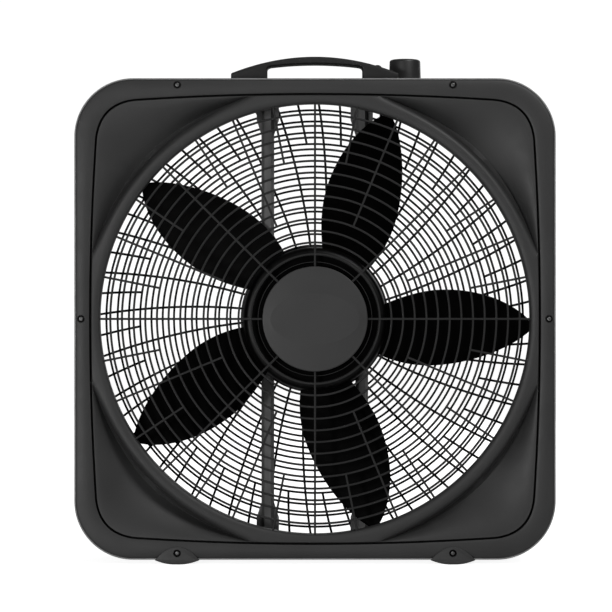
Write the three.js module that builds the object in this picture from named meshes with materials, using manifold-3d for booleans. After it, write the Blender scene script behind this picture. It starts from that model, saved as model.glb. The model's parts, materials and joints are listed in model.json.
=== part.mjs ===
// A 20-inch box fan: a square steel body with a plastic grille on each face, a five-blade rotor,
// and a small motor held on two upright bars.
//
// Millimetres. World axes: +X right, +Y to the rear, +Z up. The origin is on the floor, midway
// between the feet. The pieces are drawn in the front view of the group `fan`: x right, y up and
// z forward, with (0, 0, 0) at the fan's centre, halfway through its depth. Plan-view outlines
// have x right and their second number towards the rear.

import * as THREE from 'three';
import { mergeVertices } from 'three/addons/utils/BufferGeometryUtils.js';
import Module from 'manifold-3d';

// ---------------------------------------------------------------- driving dimensions

const BODY_SIZE = 524;
const BODY_DEPTH = 111;
const CORNER_RADIUS = 64;
const FOOT_DROP = 5;

const GAP = 0.3; // left between pieces that touch
const SHEET = 1.6; // folded steel wall of the body
const FLANGE_SHEET = 1.2;
const MOULDING = 3.9; // thickness of the flat mouldings on the two faces

const HALF = BODY_SIZE / 2;
const FACE = BODY_DEPTH / 2;
const PANEL_BACK = FACE - MOULDING;
const FLANGE_FRONT = PANEL_BACK - GAP;
const FLANGE_BACK = FLANGE_FRONT - FLANGE_SHEET;
const WRAP_EDGE = 54.3; // forward reach of the steel wall round the front moulding
const RIM_INSET = SHEET + GAP;
const INNER_WALL = HALF - SHEET;

const FRONT_OPENING = 235; // radius inside the front lip
const FRONT_LIP_BACK = 38; // the lip reaches back to here as a short shroud round the blades
const REAR_OPENING = 245.5;
const HUB_DISC = 62.1; // solid middle of the front grille
const REAR_DISC = 83.1;
const CAP_RADIUS = 57.3;
const FRONT_FIRST_RING = 70.4;
const RING_SPACING = 12.7;
const RING_WIDTH = 1.8;
const SPOKE_WIDTH = 2.2;
const GRILLE_FRONT = 52.5;
const GRILLE_BACK = 49.5;
const REAR_GRILLE_FRONT = -47.5;
const REAR_GRILLE_BACK = -50.5;

const BLADE_COUNT = 5;
const BLADE_TIP = 238.5; // radius
const BLADE_ROOT = 77.5; // radius, just inside the hub's wall
const BLADE_WIDEST = 138; // radius
const BLADE_HALF_WIDTH = 42.5;
const BLADE_THICKNESS = 2.4;
const BLADE_MIDDLE = 18; // forward place of its middle line
const ROOT_PITCH = 27;
const TIP_PITCH = 17;
const ROOT_CAMBER = 5;
const HUB_RADIUS = 79;
const HUB_FRONT = 38;

const BAR_X = 52.5;
const BAR_FRONT = -8;
const BAR_DEPTH = 9.7;
const BAR_SHEET = 1.2;
const PAD_SHEET = 1.5;
const PAD_HALF = 12.5;

const SHAFT_RADIUS = 4;
const STACK_FRONT = -8;
const STACK_BACK = -28;
const STATOR_RADIUS = 43;
const ROTOR_RADIUS = 22;

const SCREW_HOLE = 2.3;
const SCREW_SHANK = 2;
const SCREW_INSET = 7.2;
const SCREW_SPREAD = 150; // sideways place of the upper and lower screws, and of the feet

const KNOB_X = 101;
const KNOB_BACK = 22; // distance of the knob's axis behind the mid-plane

// ---------------------------------------------------------------- solids and booleans

const wasm = await Module();
wasm.setup();

function toSolid(geometry) {
  const bare = geometry.clone();
  bare.deleteAttribute('normal');
  bare.deleteAttribute('uv');
  const merged = mergeVertices(bare);
  return new wasm.Manifold(new wasm.Mesh({
    numProp: 3,
    vertProperties: merged.attributes.position.array,
    triVerts: Uint32Array.from(merged.index.array),
  }));
}

function toGeometry(solid) {
  const { vertProperties, triVerts } = solid.getMesh();
  const geometry = new THREE.BufferGeometry();
  geometry.setAttribute('position', new THREE.BufferAttribute(vertProperties, 3));
  geometry.setIndex(new THREE.BufferAttribute(triVerts, 1));
  geometry.computeVertexNormals();
  return geometry;
}

function join(geometries) {
  return toGeometry(geometries.map(toSolid).reduce((whole, piece) => whole.add(piece)));
}

function cut(geometry, tools) {
  const whole = toSolid(geometry);
  return toGeometry(tools.map(toSolid).reduce((rest, tool) => rest.subtract(tool), whole));
}

// ---------------------------------------------------------------- drawing helpers

const degrees = THREE.MathUtils.degToRad;
const CURVE_PARTS = 4; // fineness of rounded outlines
const ROUND_SIDES = 32; // sides of the large circles on the two grilles

function polar(radius, angle) {
  return new THREE.Vector2(radius * Math.cos(angle), radius * Math.sin(angle));
}

function arcPoints(radius, from, to, parts) {
  const step = (to - from) / parts;
  return Array.from({ length: parts + 1 }, (_, index) => polar(radius, from + index * step));
}

function circlePoints(radius, sides, centre = [0, 0]) {
  const middle = new THREE.Vector2(...centre);
  return arcPoints(radius, 0, 2 * Math.PI, sides).slice(0, -1).map((point) => point.add(middle));
}

function points(pairs) {
  return pairs.map(([x, y]) => new THREE.Vector2(x, y));
}

// Circumscribed radius of a many-sided bore whose flats clear a shaft of `radius`.
function boreRadius(radius, clearance, sides) {
  return (radius + clearance) / Math.cos(Math.PI / sides);
}

function roundedSquare(half, radius) {
  const flat = half - radius;
  const shape = new THREE.Shape();
  shape.absarc(flat, flat, radius, 0, Math.PI / 2);
  shape.absarc(-flat, flat, radius, Math.PI / 2, Math.PI);
  shape.absarc(-flat, -flat, radius, Math.PI, 1.5 * Math.PI);
  shape.absarc(flat, -flat, radius, 1.5 * Math.PI, 2 * Math.PI);
  return shape;
}

// A square whose sides bow out from `end` at the corners to `middle` halfway along.
function bowedSquare(middle, end, cornerStart) {
  const shape = new THREE.Shape();
  shape.moveTo(end, -cornerStart);
  for (let side = 0; side < 4; side += 1) {
    const turn = (x, y) => polar(Math.hypot(x, y), Math.atan2(y, x) + side * Math.PI / 2).toArray();
    shape.quadraticCurveTo(...turn(2 * middle - end, 0), ...turn(end, cornerStart));
    shape.quadraticCurveTo(...turn(end - 1.5, end - 1.5), ...turn(cornerStart, end));
  }
  return shape;
}

// A flat piece drawn in the front view, from `back` to `front` along z.
function plate(shape, back, front, curveSegments = CURVE_PARTS) {
  const geometry = new THREE.ExtrudeGeometry(shape, {
    depth: front - back,
    bevelEnabled: false,
    curveSegments,
  });
  return geometry.translate(0, 0, back);
}

// A straight upright piece drawn in plan view, from `bottom` to `top` along y.
function upright(shape, bottom, top) {
  const geometry = new THREE.ExtrudeGeometry(shape, { depth: top - bottom, bevelEnabled: false });
  return geometry.rotateX(-Math.PI / 2).translate(0, bottom, 0);
}

// A piece turned about the fan's axis, from a profile of [radius, forward] points.
function turned(profile, sides) {
  return new THREE.LatheGeometry(points(profile), sides).rotateX(Math.PI / 2);
}

// A piece turned about an upright axis, from a profile of [radius, height] points.
function turnedUpright(profile, sides) {
  return new THREE.LatheGeometry(points(profile), sides);
}

function closed(profile) {
  return [...profile, profile[0]];
}

function forwardHole([x, y], radius, back, front, sides = 8) {
  return plate(new THREE.Shape(circlePoints(radius, sides, [x, y])), back, front);
}

function uprightHole([x, rearward], radius, bottom, top, sides = 8) {
  return upright(new THREE.Shape(circlePoints(radius, sides, [x, rearward])), bottom, top);
}

function block([left, right], [bottom, top], [back, front]) {
  const geometry = new THREE.BoxGeometry(right - left, top - bottom, front - back);
  return geometry.translate((left + right) / 2, (bottom + top) / 2, (back + front) / 2);
}

// ---------------------------------------------------------------- colours and the assembly

const fan = new THREE.Group();
fan.position.z = HALF + FOOT_DROP;
fan.rotation.x = Math.PI / 2;

const finishes = {
  facePlastic: { color: 0x3d3d3e, roughness: 0.55, metalness: 0 },
  bodySteel: { color: 0x48484a, roughness: 0.45, metalness: 0.4 },
  capPlastic: { color: 0x434446, roughness: 0.5, metalness: 0 },
  bladePlastic: { color: 0x0b0b0c, roughness: 0.5, metalness: 0 },
  handlePlastic: { color: 0x2c2c2d, roughness: 0.5, metalness: 0 },
  knobPlastic: { color: 0x303031, roughness: 0.45, metalness: 0 },
  barSteel: { color: 0x6a6a6b, roughness: 0.5, metalness: 0.6 },
  screwSteel: { color: 0x8a8a8a, roughness: 0.35, metalness: 1 },
  castAluminium: { color: 0x8f9193, roughness: 0.6, metalness: 0.9 },
  laminations: { color: 0x55585c, roughness: 0.5, metalness: 0.8 },
  copper: { color: 0xa4552b, roughness: 0.4, metalness: 0.8 },
  bronze: { color: 0x9a7a42, roughness: 0.45, metalness: 0.9 },
  switchPlastic: { color: 0x1c1c1d, roughness: 0.6, metalness: 0 },
  capacitorPlastic: { color: 0x202326, roughness: 0.35, metalness: 0 },
  rubber: { color: 0x141414, roughness: 0.85, metalness: 0 },
};

function addPiece(name, geometry, finish, place = [0, 0, 0]) {
  const mesh = new THREE.Mesh(geometry, new THREE.MeshStandardMaterial(finishes[finish]));
  mesh.name = name;
  mesh.position.set(...place);
  fan.add(mesh);
}

// ---------------------------------------------------------------- body

const screwPlaces = [
  [-SCREW_SPREAD, HALF - SCREW_INSET],
  [SCREW_SPREAD, HALF - SCREW_INSET],
  [-SCREW_SPREAD, SCREW_INSET - HALF],
  [SCREW_SPREAD, SCREW_INSET - HALF],
  [SCREW_INSET - HALF, 0],
  [HALF - SCREW_INSET, 0],
];

const gland = [190, 205];
const HANDLE_SCREW = [60, -9];
const BAR_SCREW = [BAR_X, 2];
const BUSHING_HOLE = 5.3;

function bodyFlange(innerHalf, innerRadius, back) {
  const shape = roundedSquare(HALF - SHEET / 2, CORNER_RADIUS - SHEET / 2);
  shape.holes.push(new THREE.Path(roundedSquare(innerHalf, innerRadius).getPoints(CURVE_PARTS)));
  for (const place of screwPlaces) {
    shape.holes.push(new THREE.Path(circlePoints(SCREW_HOLE, 6, place)));
  }
  return plate(shape, back, back + FLANGE_SHEET);
}

function bodyWrap() {
  const wall = roundedSquare(HALF, CORNER_RADIUS);
  const inside = roundedSquare(INNER_WALL, CORNER_RADIUS - SHEET);
  wall.holes.push(new THREE.Path(inside.getPoints(CURVE_PARTS)));
  const holes = [
    uprightHole([KNOB_X, KNOB_BACK], BUSHING_HOLE, INNER_WALL - 1, HALF + 1),
    ...[-1, 1].flatMap((side) => [
      uprightHole([side * HANDLE_SCREW[0], HANDLE_SCREW[1]], SCREW_HOLE, INNER_WALL - 1, HALF + 1),
      uprightHole([side * BAR_SCREW[0], BAR_SCREW[1]], SCREW_HOLE, -HALF - 1, -INNER_WALL + 1),
    ]),
  ];
  const sheet = join([
    plate(wall, -WRAP_EDGE, WRAP_EDGE),
    bodyFlange(240, 38, FLANGE_BACK),
    bodyFlange(249, 49, -FLANGE_FRONT),
  ]);
  return cut(sheet, holes);
}

function screw(headRadius, headHeight, length, sides = 8) {
  return turned([
    [0, -length],
    [SCREW_SHANK, -length + 1],
    [SCREW_SHANK, 0],
    [headRadius, 0],
    [headRadius * 0.8, headHeight],
    [0, headHeight],
  ], sides);
}

// ---------------------------------------------------------------- grilles

// Openings of a grille between neighbouring rings. `spokesAt` gives the number of spokes
// outside a ring, and `leanAt` the angle by which a spoke has turned at a radius.
function grilleOpenings(rings, spokesAt, leanAt) {
  return rings.slice(1).flatMap((outerRing, index) => {
    const inner = rings[index] + RING_WIDTH / 2;
    const outer = outerRing - RING_WIDTH / 2;
    const count = spokesAt(rings[index]);
    const pitch = 2 * Math.PI / count;
    const parts = Math.round(32 / count);
    return Array.from({ length: count }, (_, spoke) => {
      const edge = (radius) => {
        const start = spoke * pitch + leanAt(radius);
        const inset = SPOKE_WIDTH / 2 / radius;
        return arcPoints(radius, start + inset, start + pitch - inset, parts);
      };
      return new THREE.Path([...edge(inner), ...edge(outer).reverse()]);
    });
  });
}

// Rings from `first` outwards, then the rim, which the last ring keeps at least 5 mm from.
function ringRadii(first, rim) {
  const count = Math.floor((rim - 5 - first) / RING_SPACING) + 1;
  return [...Array.from({ length: count }, (_, index) => first + index * RING_SPACING), rim];
}

function frontScrewRecesses() {
  return screwPlaces.map((place) => forwardHole(place, 4.3, PANEL_BACK + 1.8, FACE + 1));
}

function frontFrame() {
  const shape = roundedSquare(HALF - RIM_INSET, CORNER_RADIUS - RIM_INSET);
  shape.holes.push(new THREE.Path(bowedSquare(245.7, 239.2, 197).getPoints(CURVE_PARTS)));
  for (const place of screwPlaces) {
    shape.holes.push(new THREE.Path(circlePoints(SCREW_HOLE, 8, place)));
  }
  return cut(plate(shape, PANEL_BACK, FACE), frontScrewRecesses());
}

function frontGrille() {
  const panel = bowedSquare(244.3, 237.8, 197);
  panel.holes.push(new THREE.Path(circlePoints(FRONT_OPENING + 2, ROUND_SIDES)));
  const lip = turned(closed([
    [FRONT_OPENING, FRONT_LIP_BACK],
    [FRONT_OPENING + 3.2, FRONT_LIP_BACK],
    [FRONT_OPENING + 3.2, PANEL_BACK],
    [FRONT_OPENING + 8.6, PANEL_BACK],
    [FRONT_OPENING + 7.2, FACE - 0.8],
    [FRONT_OPENING + 2, FACE - 0.3],
    [FRONT_OPENING, 53.5],
  ]), ROUND_SIDES);
  const disc = new THREE.Shape(circlePoints(FRONT_OPENING + 1.5, ROUND_SIDES));
  const rings = [HUB_DISC, ...ringRadii(FRONT_FIRST_RING, FRONT_OPENING)];
  const spokeCounts = [[172, 32], [108, 16], [0, 8]];
  const spokesAt = (radius) => spokeCounts.find(([from]) => radius >= from)[1];
  disc.holes.push(...grilleOpenings(rings, spokesAt, () => 0));
  return join([plate(panel, PANEL_BACK, FACE - 2), lip, plate(disc, GRILLE_BACK, GRILLE_FRONT)]);
}

function frontCap() {
  const dome = turned([
    [0, GRILLE_FRONT + GAP],
    [CAP_RADIUS, GRILLE_FRONT + GAP],
    [CAP_RADIUS, GRILLE_FRONT + 1.9],
    [CAP_RADIUS - 3, GRILLE_FRONT + 2.9],
    [CAP_RADIUS * 0.5, GRILLE_FRONT + 3.7],
    [0, GRILLE_FRONT + 3.9],
  ], 32);
  const oval = new THREE.Shape();
  oval.absellipse(0, 0, 48.5, 27.5, 0, 2 * Math.PI);
  const badge = plate(oval, GRILLE_FRONT + 2, GRILLE_FRONT + 4.2, 12);
  return join([dome, badge]);
}

function rearGrille() {
  const rim = REAR_OPENING + 3;
  const panel = roundedSquare(HALF - RIM_INSET, CORNER_RADIUS - RIM_INSET);
  panel.holes.push(new THREE.Path(circlePoints(rim - 1.5, ROUND_SIDES)));
  panel.holes.push(new THREE.Path(circlePoints(7.4, 12, gland)));
  for (const place of screwPlaces) {
    panel.holes.push(new THREE.Path(circlePoints(SCREW_HOLE, 8, place)));
  }
  const lip = new THREE.Shape(circlePoints(rim, ROUND_SIDES));
  lip.holes.push(new THREE.Path(circlePoints(REAR_OPENING, ROUND_SIDES)));
  const disc = new THREE.Shape(circlePoints(REAR_OPENING + 1.5, ROUND_SIDES));
  const rings = ringRadii(REAR_DISC, REAR_OPENING);
  const lean = (radius) => degrees(0.0421 * (radius - REAR_OPENING) - 1);
  disc.holes.push(...grilleOpenings(rings, () => 16, lean));
  return join([
    plate(panel, -FACE, -PANEL_BACK),
    plate(lip, -FACE, REAR_GRILLE_FRONT + 0.5),
    plate(disc, REAR_GRILLE_BACK, REAR_GRILLE_FRONT),
  ]);
}

// A bush that snaps into the rear panel round the cord's hole, with a collar outside.
function cordGland() {
  return turned(closed([
    [3.6, -57],
    [8, -57],
    [9, -FACE - GAP],
    [7, -FACE - GAP],
    [7, -50],
    [3.6, -50],
  ]), 12);
}

// ---------------------------------------------------------------- rotor

// A closed sheet between a front and a back face, each a grid of rows by columns.
function closedSheet(rows, columns, pointAt) {
  const positions = [];
  const index = [];
  for (const side of [0, 1]) {
    for (let row = 0; row <= rows; row += 1) {
      for (let column = 0; column <= columns; column += 1) {
        positions.push(...pointAt(row / rows, column / columns, side));
      }
    }
  }
  const vertex = (side, row, column) => (side * (rows + 1) + row) * (columns + 1) + column;
  const quad = (a, b, c, d) => index.push(a, b, c, a, c, d);
  const closeEdge = (from, to) => (
    quad(vertex(0, ...from), vertex(1, ...from), vertex(1, ...to), vertex(0, ...to))
  );
  for (let row = 0; row < rows; row += 1) {
    for (let column = 0; column < columns; column += 1) {
      const corners = [[row, column], [row + 1, column], [row + 1, column + 1], [row, column + 1]];
      quad(...corners.map((corner) => vertex(0, ...corner)));
      quad(...corners.reverse().map((corner) => vertex(1, ...corner)));
    }
    closeEdge([row, 0], [row + 1, 0]);
    closeEdge([row + 1, columns], [row, columns]);
  }
  for (let column = 0; column < columns; column += 1) {
    closeEdge([0, column + 1], [0, column]);
    closeEdge([rows, column], [rows, column + 1]);
  }
  const geometry = new THREE.BufferGeometry();
  geometry.setAttribute('position', new THREE.Float32BufferAttribute(positions, 3));
  geometry.setIndex(index);
  return geometry;
}

// Half the blade's width along its arc: widest at BLADE_WIDEST, drawn in a little at the root
// and rounded to a point at the tip.
function bladeHalfWidth(radius) {
  const outward = Math.max(0, (radius - BLADE_WIDEST) / (BLADE_TIP + 0.5 - BLADE_WIDEST));
  const inward = Math.max(0, (BLADE_WIDEST - radius) / 54);
  return BLADE_HALF_WIDTH * (1 - outward ** 2) ** 0.7 * (1 - 0.28 * inward ** 1.8);
}

// Towards the root the blade's middle line curves more and more towards its leading edge.
function bladeMiddleAngle(radius) {
  return degrees(-1.9 - 6 * ((BLADE_TIP + 1.5 - radius) / 150) ** 2);
}

// The leading edge is at the rear, so that the blade throws air forward.
function blade() {
  const pointAt = (along, across, side) => {
    const radius = THREE.MathUtils.lerp(BLADE_ROOT, BLADE_TIP, along ** 0.8);
    const reach = (2 * across - 1) * bladeHalfWidth(radius);
    const pitch = degrees(THREE.MathUtils.lerp(ROOT_PITCH, TIP_PITCH, along));
    const camber = ROOT_CAMBER * (1 - along) * 4 * across * (1 - across);
    const { x, y } = polar(radius, bladeMiddleAngle(radius) + reach / radius);
    const middle = BLADE_MIDDLE + reach * Math.tan(pitch) - camber;
    return [x, y, middle + (side ? -BLADE_THICKNESS : BLADE_THICKNESS) / 2];
  };
  return closedSheet(7, 4, pointAt);
}

function fanBlade() {
  const cup = turned(closed([
    [4.3, 22],
    [10, 22],
    [10, HUB_FRONT - 4],
    [HUB_RADIUS - 8, HUB_FRONT - 4],
    [HUB_RADIUS - 3, HUB_FRONT - 8],
    [HUB_RADIUS - 3, 0],
    [HUB_RADIUS, 0],
    [HUB_RADIUS, HUB_FRONT - 8],
    [76.5, HUB_FRONT - 2.5],
    [71, HUB_FRONT],
    [4.3, HUB_FRONT],
  ]), 30);
  const blades = Array.from({ length: BLADE_COUNT }, (_, index) => (
    blade().rotateZ(index * 2 * Math.PI / BLADE_COUNT)
  ));
  return join([cup, ...blades]);
}

function bladeNut() {
  const shape = new THREE.Shape(circlePoints(9, 6));
  shape.holes.push(new THREE.Path(circlePoints(4.3, 12)));
  return plate(shape, HUB_FRONT + GAP, HUB_FRONT + 6);
}

function motorShaft() {
  return new THREE.CylinderGeometry(SHAFT_RADIUS, SHAFT_RADIUS, 90, 12).rotateX(Math.PI / 2);
}

function rotorCore() {
  const ends = ROTOR_RADIUS - 2;
  return turned(closed([
    [4.3, STACK_BACK - 3],
    [ends, STACK_BACK - 3],
    [ends, STACK_BACK + 0.5],
    [ROTOR_RADIUS, STACK_BACK + 0.5],
    [ROTOR_RADIUS, STACK_FRONT - 0.5],
    [ends, STACK_FRONT - 0.5],
    [ends, STACK_FRONT + 3],
    [4.3, STACK_FRONT + 3],
  ]), 24);
}

// ---------------------------------------------------------------- motor

const POLE_HALF_WIDTH = 7;
const YOKE_INNER = 36.5;
const SHOE_BACK = 26.3;
const tieScrewPlaces = [45, 135, 225, 315].map((angle) => polar(39.75, degrees(angle)).toArray());
const boltPlaces = [[-BAR_X, -20], [BAR_X, -20], [-BAR_X, 20], [BAR_X, 20]];

// Four poles that reach in from a round yoke, each ending in a wide shoe.
function stator() {
  const armAt = (radius) => Math.asin(POLE_HALF_WIDTH / radius);
  const shoe = degrees(34);
  const slots = [0, 1, 2, 3].flatMap((pole) => {
    const middle = pole * Math.PI / 2;
    const next = middle + Math.PI / 2;
    return [
      ...arcPoints(ROTOR_RADIUS + 0.9, middle - shoe, middle + shoe, 6),
      polar(SHOE_BACK, middle + shoe),
      polar(SHOE_BACK, middle + armAt(SHOE_BACK)),
      ...arcPoints(YOKE_INNER, middle + armAt(YOKE_INNER), next - armAt(YOKE_INNER), 5),
      polar(SHOE_BACK, next - armAt(SHOE_BACK)),
      polar(SHOE_BACK, next - shoe),
    ];
  });
  const shape = new THREE.Shape(circlePoints(STATOR_RADIUS, 40));
  shape.holes.push(new THREE.Path(slots));
  for (const place of tieScrewPlaces) {
    shape.holes.push(new THREE.Path(circlePoints(1.9, 6, place)));
  }
  return plate(shape, STACK_BACK, STACK_FRONT);
}

// A coil round one pole: drawn across the pole, and as thick as the space behind the shoe.
function coil(poleAngle) {
  const rectangle = (halfWidth, halfHeight, chamfer) => points([
    [halfWidth - chamfer, -halfHeight],
    [halfWidth, chamfer - halfHeight],
    [halfWidth, halfHeight - chamfer],
    [halfWidth - chamfer, halfHeight],
    [chamfer - halfWidth, halfHeight],
    [-halfWidth, halfHeight - chamfer],
    [-halfWidth, chamfer - halfHeight],
    [chamfer - halfWidth, -halfHeight],
  ]);
  const shape = new THREE.Shape(rectangle(11.8, 14.9, 4));
  shape.holes.push(new THREE.Path(rectangle(POLE_HALF_WIDTH + GAP, 10.4, 0.5)));
  const loop = plate(shape, SHOE_BACK + 0.4, YOKE_INNER - 2.9).rotateX(Math.PI / 2).rotateZ(Math.PI / 2);
  return loop.translate(0, 0, (STACK_FRONT + STACK_BACK) / 2).rotateZ(poleAngle);
}

function tieScrewHoles(back, front) {
  return tieScrewPlaces.map((place) => forwardHole(place, 1.9, back, front, 6));
}

function frontBell() {
  const shell = turned(closed([
    [9.35, 20],
    [9.35, 8.2],
    [12, 8.2],
    [34.5, 2.5],
    [YOKE_INNER, -1],
    [YOKE_INNER, STACK_FRONT + GAP],
    [STATOR_RADIUS, STACK_FRONT + GAP],
    [STATOR_RADIUS, 0],
    [38, 6],
    [15, 12],
    [14, 20],
  ]), 20);
  const ears = [[12, 28], [-28, -12]].flatMap((height) => [
    block([-60, -34], height, [STACK_FRONT + GAP, -4.3]),
    block([34, 60], height, [STACK_FRONT + GAP, -4.3]),
  ]);
  const inside = forwardHole([0, 0], YOKE_INNER, -9, -1, 20);
  const holes = boltPlaces.map((place) => forwardHole(place, SCREW_HOLE, -9, -3));
  return cut(join([shell, ...ears]), [inside, ...holes, ...tieScrewHoles(-9, -5)]);
}

function rearBell() {
  const shell = turned(closed([
    [9.35, -45],
    [14, -45],
    [15, -39],
    [38, -36.5],
    [STATOR_RADIUS, -33],
    [STATOR_RADIUS, STACK_BACK - GAP],
    [YOKE_INNER, STACK_BACK - GAP],
    [YOKE_INNER, -33.2],
    [12, -34.8],
    [9.35, -34.8],
  ]), 20);
  return cut(shell, tieScrewHoles(-40, -28));
}

function bearing(back, front) {
  const bore = boreRadius(SHAFT_RADIUS, 0.05, 12);
  return turned(closed([[bore, back], [9.05, back], [9.05, front], [bore, front]]), 12);
}

function tieScrew() {
  return turned([[0, -33.2], [2.6, -33.2], [3, -31], [1.5, -31], [1.5, 0], [0, 0]], 8);
}

// A strap that holds the capacitor against the left bar.
function capacitorTie() {
  const strap = new THREE.Shape(points([[-61.1, 6.9], [-32.2, 6.9], [-32.2, 43.3], [-61.1, 43.3]]));
  const inside = points([[-60.1, 7.7], [-33.2, 7.7], [-33.2, 42.3], [-60.1, 42.3]]);
  strap.holes.push(new THREE.Path(inside));
  return upright(strap, 53, 57);
}

// The lead leaves the motor at its right, runs up inside the right bar and ends at the switch.
function motorLead() {
  const route = new THREE.CatmullRomCurve3([
    [35.6, 24.9, -31],
    [44, 31.5, -31],
    [50.5, 43, -30.5],
    [52.5, 62, -28],
    [52.5, 84, -19],
    [52.5, 104, -14.8],
    [52.5, 178, -14.8],
    [52.6, 205, -24],
    [56, 226, -26.5],
    [66, 241, -25.5],
    [77, 248.5, -23],
    [85.2, 250, -22],
  ].map((place) => new THREE.Vector3(...place)));
  const section = new THREE.Shape(circlePoints(2.2, 8));
  return new THREE.ExtrudeGeometry(section, { steps: 28, bevelEnabled: false, extrudePath: route });
}

// ---------------------------------------------------------------- bars, handle, knob, feet

// An upright channel with a flat web in front, whose ends flare out and turn into fixing pads.
function supportBar() {
  const front = -BAR_FRONT;
  const rear = BAR_DEPTH - BAR_FRONT;
  const channel = upright(new THREE.Shape(points([
    [-3.5, front],
    [3.5, front],
    [7.15, rear],
    [5.85, rear],
    [2.7, front + BAR_SHEET],
    [-2.7, front + BAR_SHEET],
    [-5.85, rear],
    [-7.15, rear],
  ])), -INNER_WALL + 1, INNER_WALL - 1);
  const ends = [1, -1].flatMap((side) => {
    const wall = side * (INNER_WALL - GAP);
    const padFace = side * (INNER_WALL - GAP - PAD_SHEET);
    const pad = new THREE.Shape(points([
      [-PAD_HALF, -14],
      [PAD_HALF, -14],
      [PAD_HALF, 20],
      [-PAD_HALF, 20],
    ]));
    const flare = new THREE.Shape(points([
      [-7, side * 205],
      [7, side * 205],
      [PAD_HALF, side * 222],
      [PAD_HALF, wall - side],
      [-PAD_HALF, wall - side],
      [-PAD_HALF, side * 222],
    ]));
    return [
      upright(pad, Math.min(wall, padFace), Math.max(wall, padFace)),
      plate(flare, -rear, BAR_SHEET - rear),
    ];
  });
  return join([channel, ...ends]);
}

// The bar on one side, -1 or 1, with its holes for the motor bolts and for its end screws.
function barOnSide(side) {
  const handleHole = [side * (HANDLE_SCREW[0] - BAR_X), HANDLE_SCREW[1]];
  const holes = [
    ...[-20, 20].map((height) => forwardHole([0, height], SCREW_HOLE, -12, -6)),
    uprightHole(handleHole, SCREW_HOLE, INNER_WALL - 3, INNER_WALL),
    uprightHole([0, BAR_SCREW[1]], SCREW_HOLE, -INNER_WALL, 3 - INNER_WALL),
  ];
  return cut(supportBar(), holes).translate(side * BAR_X, 0, 0);
}

const HANDLE_BACK = -3;
const HANDLE_FRONT = 23;
const HANDLE_HALF = 92.5;

// An arch over a finger gap, with two flat-footed legs and a small raised mark on its right slope.
function handle() {
  const base = HALF + GAP;
  const shape = new THREE.Shape();
  shape.moveTo(-HANDLE_HALF, base);
  shape.lineTo(-52.5, base);
  shape.lineTo(-52.5, HALF + 12.6);
  shape.quadraticCurveTo(-52.5, HALF + 15.6, -48, HALF + 16.1);
  shape.quadraticCurveTo(0, HALF + 21.9, 48, HALF + 16.1);
  shape.quadraticCurveTo(52.5, HALF + 15.6, 52.5, HALF + 12.6);
  shape.lineTo(52.5, base);
  shape.lineTo(HANDLE_HALF, base);
  shape.lineTo(HANDLE_HALF, HALF + 7);
  shape.quadraticCurveTo(HANDLE_HALF, HALF + 8.7, HANDLE_HALF - 1.8, HALF + 9.2);
  shape.quadraticCurveTo(0, HALF + 44.4, 1.8 - HANDLE_HALF, HALF + 9.2);
  shape.quadraticCurveTo(-HANDLE_HALF, HALF + 8.7, -HANDLE_HALF, HALF + 7);
  const mark = forwardHole([69, HALF + 12.3], 6, 5, 15, 12);
  const holes = [-1, 1].map((side) => (
    uprightHole([side * HANDLE_SCREW[0], HANDLE_SCREW[1]], SCREW_HOLE, HALF - 1, HALF + 11)
  ));
  return cut(join([plate(shape, HANDLE_BACK, HANDLE_FRONT, 7), mark]), holes);
}

const DIAL_TOP = HALF + GAP + 1;
const KNOB_BASE = DIAL_TOP + 0.7;
const KNOB_TOP = HALF + 28;

function dialPlate() {
  return turnedUpright(closed([
    [BUSHING_HOLE, DIAL_TOP - 1],
    [20, DIAL_TOP - 1],
    [19.6, DIAL_TOP],
    [BUSHING_HOLE, DIAL_TOP],
  ]), 20);
}

function knob() {
  return turnedUpright([
    [0, KNOB_BASE + 20],
    [3.35, KNOB_BASE + 20],
    [3.35, KNOB_BASE + 6],
    [12, KNOB_BASE + 6],
    [12, KNOB_BASE],
    [17.9, KNOB_BASE],
    [17.2, KNOB_TOP - 2.6],
    [15.2, KNOB_TOP - 0.6],
    [0, KNOB_TOP],
  ], 20);
}

function switchShaft() {
  return new THREE.CylinderGeometry(3, 3, 32, 12).translate(0, HALF + 4.5, 0);
}

function rotarySwitch() {
  const body = block([-15, 15], [HALF - 20, INNER_WALL - GAP], [-15, 15]);
  const bushing = new THREE.CylinderGeometry(4.9, 4.9, 9, 12).translate(0, HALF + 0.5, 0);
  const bore = boreRadius(3, 0.06, 12);
  const hole = new THREE.CylinderGeometry(bore, bore, 20, 12).translate(0, HALF - 2, 0);
  return cut(join([body, bushing]), [hole]);
}

function switchNut() {
  const shape = new THREE.Shape(circlePoints(7.6, 6));
  shape.holes.push(new THREE.Path(circlePoints(BUSHING_HOLE, 12)));
  return upright(shape, DIAL_TOP + GAP, DIAL_TOP + 2.8);
}

// A saddle under the body's lower edge. Its tabs lie on the two faces under the lower screws.
function foot() {
  const top = -HALF - GAP;
  const floor = -HALF - FOOT_DROP;
  const lowerOutline = () => {
    const outline = new THREE.Shape();
    outline.moveTo(-24, top);
    outline.quadraticCurveTo(-17, floor + 0.4, -8.5, floor);
    outline.lineTo(8.5, floor);
    outline.quadraticCurveTo(17, floor + 0.4, 24, top);
    return outline;
  };
  const tab = lowerOutline();
  tab.quadraticCurveTo(0, top + 29, -24, top);
  const inside = FACE + GAP;
  const outside = FACE + 1.5;
  const screwPlace = [0, SCREW_INSET - HALF];
  return cut(join([
    plate(lowerOutline(), -outside, outside, 3),
    plate(tab, inside, outside, 4),
    plate(tab, -outside, -inside, 4),
  ]), [forwardHole(screwPlace, 4.3, -outside - 1, outside + 1)]);
}

// ---------------------------------------------------------------- assembly

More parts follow.
